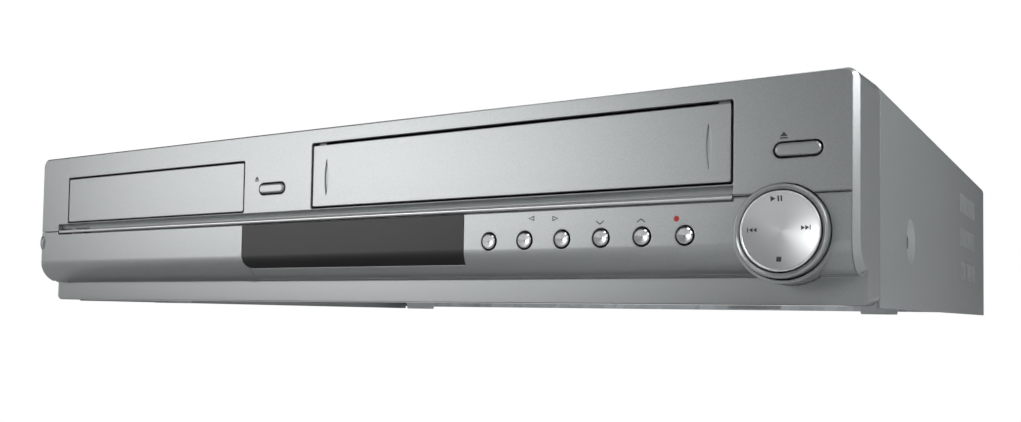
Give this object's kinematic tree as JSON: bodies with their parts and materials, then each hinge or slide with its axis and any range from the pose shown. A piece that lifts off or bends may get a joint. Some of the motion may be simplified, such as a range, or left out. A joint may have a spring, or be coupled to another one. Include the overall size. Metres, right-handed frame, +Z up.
{
  "type": "dvd vcr combo player",
  "caption": "Slim silver player that pairs a disc tray with a cassette door, with a socket flap, display window, keys and a round control pad.",
  "frame": {"origin": "middle of the overall box's base, on the shelf under the feet", "axes": "+X to the right seen from the front, -Y out of the front, +Z up"},
  "size_m": [0.43, 0.3332, 0.0764],
  "materials": {
    "silver_plastic": "satin metallic silver paint",
    "pale_plastic": "brighter satin metallic silver paint",
    "chrome_cap": "polished",
    "smoked_plastic": "smoked, glossy",
    "black_plastic": "fine texture",
    "grey_plastic": "fine texture",
    "socket_plastic": "plain",
    "gear_plastic": "plain, slightly waxy",
    "coated_steel": "satin silver-grey coat",
    "zinc_steel": "zinc plated",
    "spring_steel": "bright",
    "drum_alloy": "turned, polished",
    "rubber": "matt",
    "circuit_board": "solder resist",
    "brown_board": "paper-phenolic board",
    "tube_glass": "dark tinted glass"
  },
  "bodies": {
    "case": {"front_panel": "silver_plastic", "lower_panel": "silver_plastic", "display_window": "smoked_plastic", "trim_bar": "pale_plastic", "pad_ring": "pale_plastic", "av_jack_panel": "grey_plastic", "front_jacks": "socket_plastic", "front_board": "circuit_board", "display_tube": "tube_glass", "top_cover": "coated_steel", "cover_screws": "zinc_steel", "chassis_tray": "zinc_steel", "rear_panel": "zinc_steel", "feet": "grey_plastic", "deck_plate": "zinc_steel", "side_brackets": "zinc_steel", "lower_drum": "drum_alloy", "deck_motors": "grey_plastic", "tape_heads": "zinc_steel", "drive_case": "zinc_steel", "drive_lid": "zinc_steel", "traverse": "zinc_steel", "main_board": "circuit_board", "power_board": "brown_board", "scart_sockets": "black_plastic", "rear_jacks": "socket_plastic", "mains_inlet": "black_plastic", "fan_frame": "black_plastic"},
    "power_key": {"power_button": "pale_plastic"},
    "open_key": {"open_button": "silver_plastic"},
    "eject_key": {"eject_button": "silver_plastic"},
    "source_key": {"source_button": "chrome_cap"},
    "copy_disc_key": {"copy_disc_button": "chrome_cap"},
    "copy_tape_key": {"copy_tape_button": "chrome_cap"},
    "channel_down_key": {"channel_down_button": "chrome_cap"},
    "channel_up_key": {"channel_up_button": "chrome_cap"},
    "record_key": {"record_button": "chrome_cap"},
    "gimbal": {"pad_gimbal": "grey_plastic"},
    "pad": {"control_pad": "silver_plastic"},
    "flap": {"av_flap": "silver_plastic"},
    "tape_door": {"cassette_door": "silver_plastic", "door_spring": "spring_steel"},
    "carriage": {"carriage_sliders": "gear_plastic"},
    "holder": {"cassette_holder": "zinc_steel"},
    "drum": {"upper_drum": "drum_alloy"},
    "capstan_shaft": {"capstan": "spring_steel"},
    "pinch_lever": {"pinch_arm": "zinc_steel"},
    "pinch_wheel": {"pinch_roller": "rubber"},
    "supply_spool": {"supply_reel": "gear_plastic"},
    "take_up_spool": {"take_up_reel": "gear_plastic"},
    "supply_post": {"supply_guide": "spring_steel"},
    "take_up_post": {"take_up_guide": "spring_steel"},
    "mode_cam": {"cam_gear": "gear_plastic"},
    "tray": {"disc_tray": "grey_plastic", "tray_fascia": "silver_plastic"},
    "tray_pinion": {"tray_gear": "gear_plastic"},
    "turntable": {"spindle_table": "rubber"},
    "sled": {"pickup_sled": "black_plastic"},
    "puck": {"clamp_puck": "black_plastic"},
    "fan": {"fan_rotor": "grey_plastic"}
  },
  "joints": [
    {"name": "power_press", "type": "slide", "parent": "case", "child": "power_key", "axis": [0, 1, 0], "range_m": [0, 0.001], "stiffness_N_per_m": 400},
    {"name": "open_press", "type": "slide", "parent": "case", "child": "open_key", "axis": [0, 1, 0], "range_m": [0, 0.0012], "stiffness_N_per_m": 400},
    {"name": "eject_press", "type": "slide", "parent": "case", "child": "eject_key", "axis": [0, 1, 0], "range_m": [0, 0.0012], "stiffness_N_per_m": 400},
    {"name": "source_press", "type": "slide", "parent": "case", "child": "source_key", "axis": [0, 1, 0], "range_m": [0, 0.0012], "stiffness_N_per_m": 400},
    {"name": "copy_disc_press", "type": "slide", "parent": "case", "child": "copy_disc_key", "axis": [0, 1, 0], "range_m": [0, 0.0012], "stiffness_N_per_m": 400},
    {"name": "copy_tape_press", "type": "slide", "parent": "case", "child": "copy_tape_key", "axis": [0, 1, 0], "range_m": [0, 0.0012], "stiffness_N_per_m": 400},
    {"name": "channel_down_press", "type": "slide", "parent": "case", "child": "channel_down_key", "axis": [0, 1, 0], "range_m": [0, 0.0012], "stiffness_N_per_m": 400},
    {"name": "channel_up_press", "type": "slide", "parent": "case", "child": "channel_up_key", "axis": [0, 1, 0], "range_m": [0, 0.0012], "stiffness_N_per_m": 400},
    {"name": "record_press", "type": "slide", "parent": "case", "child": "record_key", "axis": [0, 1, 0], "range_m": [0, 0.0012], "stiffness_N_per_m": 400},
    {"name": "pad_up_down", "type": "hinge", "parent": "case", "child": "gimbal", "pos_m": [0.1897, -0.15825, 0.0247], "axis": [1, 0, 0], "range_deg": [-1.5, 1.5], "stiffness_Nm_per_rad": 0.3},
    {"name": "pad_left_right", "type": "hinge", "parent": "gimbal", "child": "pad", "pos_m": [0.1897, -0.15825, 0.0247], "axis": [0, 0, 1], "range_deg": [-1.5, 1.5], "stiffness_Nm_per_rad": 0.3},
    {"name": "flap_hinge", "type": "hinge", "parent": "case", "child": "flap", "pos_m": [-0.136, -0.15325, 0.0119], "axis": [1, 0, 0], "range_deg": [0, 80]},
    {"name": "tape_door_hinge", "type": "hinge", "parent": "case", "child": "tape_door", "pos_m": [0.0777, -0.15885, 0.0711], "axis": [1, 0, 0], "range_deg": [0, 90], "stiffness_Nm_per_rad": 0.004, "springref_deg": -28.65},
    {"name": "carriage_in", "type": "slide", "parent": "case", "child": "carriage", "axis": [0, 1, 0], "range_m": [0, 0.065]},
    {"name": "carriage_down", "type": "slide", "parent": "carriage", "child": "holder", "axis": [0, 0, -1], "range_m": [0, 0.015]},
    {"name": "drum_spin", "type": "hinge", "parent": "case", "child": "drum", "pos_m": [0.0777, 0.02415, 0.016], "axis": [0, 0.0872, 0.9962], "continuous": true},
    {"name": "capstan_spin", "type": "hinge", "parent": "case", "child": "capstan_shaft", "pos_m": [0.1397, -0.01085, 0.016], "axis": [0, 0, 1], "continuous": true},
    {"name": "cam_turn", "type": "hinge", "parent": "case", "child": "mode_cam", "pos_m": [0.0157, 0.05915, 0.017], "axis": [0, 0, 1], "range_deg": [0, 180]},
    {"name": "pinch_press", "type": "hinge", "parent": "case", "child": "pinch_lever", "pos_m": [0.1657, -0.00485, 0.017], "axis": [0, 0, 1], "range_deg": [0, 33]},
    {"name": "pinch_roller_spin", "type": "hinge", "parent": "pinch_lever", "child": "pinch_wheel", "pos_m": [0.14768, 0.00777, 0.021], "axis": [0, 0, 1], "continuous": true},
    {"name": "supply_reel_spin", "type": "hinge", "parent": "case", "child": "supply_spool", "pos_m": [0.03145, -0.07785, 0.018], "axis": [0, 0, 1], "continuous": true},
    {"name": "take_up_reel_spin", "type": "hinge", "parent": "case", "child": "take_up_spool", "pos_m": [0.12395, -0.07785, 0.018], "axis": [0, 0, 1], "continuous": true},
    {"name": "supply_guide_load", "type": "slide", "parent": "case", "child": "supply_post", "axis": [-0.3644, 0.9312, 0], "range_m": [0, 0.0493]},
    {"name": "take_up_guide_load", "type": "slide", "parent": "case", "child": "take_up_post", "axis": [0.3644, 0.9312, 0], "range_m": [0, 0.0493]},
    {"name": "tray_slide", "type": "slide", "parent": "case", "child": "tray", "axis": [0, -1, 0], "range_m": [0, 0.13]},
    {"name": "tray_gear_turn", "type": "hinge", "parent": "case", "child": "tray_pinion", "pos_m": [-0.1581, -0.13585, 0.041], "axis": [0, 0, 1], "range_deg": [0, 533]},
    {"name": "spindle_spin", "type": "hinge", "parent": "case", "child": "turntable", "pos_m": [-0.1251, -0.09485, 0.046], "axis": [0, 0, 1], "continuous": true},
    {"name": "sled_travel", "type": "slide", "parent": "case", "child": "sled", "axis": [0, 1, 0], "range_m": [0, 0.03]},
    {"name": "puck_spin", "type": "hinge", "parent": "case", "child": "puck", "pos_m": [-0.1251, -0.09485, 0.059], "axis": [0, 0, 1], "continuous": true},
    {"name": "fan_spin", "type": "hinge", "parent": "case", "child": "fan", "pos_m": [-0.12, 0.14615, 0.041], "axis": [0, 1, 0], "continuous": true}
  ],
  "couplings": [
    {"joint": "tray_gear_turn", "follows": "tray_slide", "rad_per_m": 71.429},
    {"joint": "take_up_guide_load", "follows": "supply_guide_load", "ratio": 1},
    {"joint": "cam_turn", "follows": "supply_guide_load", "rad_per_m": 63.6},
    {"joint": "pinch_press", "follows": "supply_guide_load", "rad_per_m": 11.66}
  ]
}
